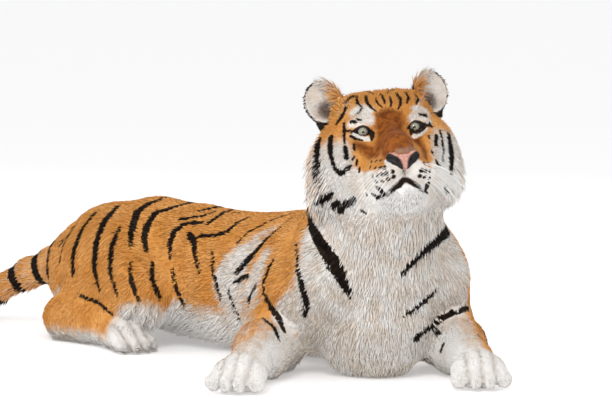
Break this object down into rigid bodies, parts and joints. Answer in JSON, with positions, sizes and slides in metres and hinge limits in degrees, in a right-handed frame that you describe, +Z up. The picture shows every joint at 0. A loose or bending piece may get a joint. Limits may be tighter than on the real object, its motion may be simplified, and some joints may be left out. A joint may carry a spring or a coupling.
{
  "type": "siberian tiger model",
  "caption": "Life-size still model of a Siberian tiger lying on its belly, head raised and turned, forelegs spread, tail curled on the floor.",
  "frame": {"origin": "on the floor, in the flat patch where the chest rests", "axes": "+Z up; the hindquarters lie along -X, the forequarters turn towards -Y"},
  "size_m": [2.3861, 0.9795, 0.7323],
  "materials": {
    "coat_orange": "orange fur with dark stripes, matt with a soft sheen",
    "coat_white": "long white to cream fur, matt",
    "coat_tail": "pale orange fur with dark rings, matt",
    "nose_leather": "moist pink nose leather, dark at the nostrils",
    "eye": "wet glossy eye, grey-green iris, round dark pupil"
  },
  "bodies": {
    "root": {"thorax": "coat_orange", "abdomen": "coat_orange", "pelvis": "coat_orange", "head": "coat_orange", "face": "coat_orange", "upper_arm_right": "coat_orange", "upper_arm_left": "coat_orange", "forearm_right": "coat_orange", "forearm_left": "coat_orange", "thigh_right": "coat_orange", "thigh_left": "coat_orange", "hind_foot_right": "coat_orange", "hind_foot_left": "coat_orange", "neck": "coat_white", "lower_jaw": "coat_white", "paw_front_right": "coat_white", "paw_front_left": "coat_white", "paw_hind_right": "coat_white", "paw_hind_left": "coat_white", "ear_right": "coat_white", "ear_left": "coat_white", "ruff_right": "coat_white", "ruff_left": "coat_white", "tail_1": "coat_tail", "tail_2": "coat_tail", "tail_3": "coat_tail", "tail_4": "coat_tail", "nose": "nose_leather", "eye_right": "eye", "eye_left": "eye"}
  },
  "joints": []
}
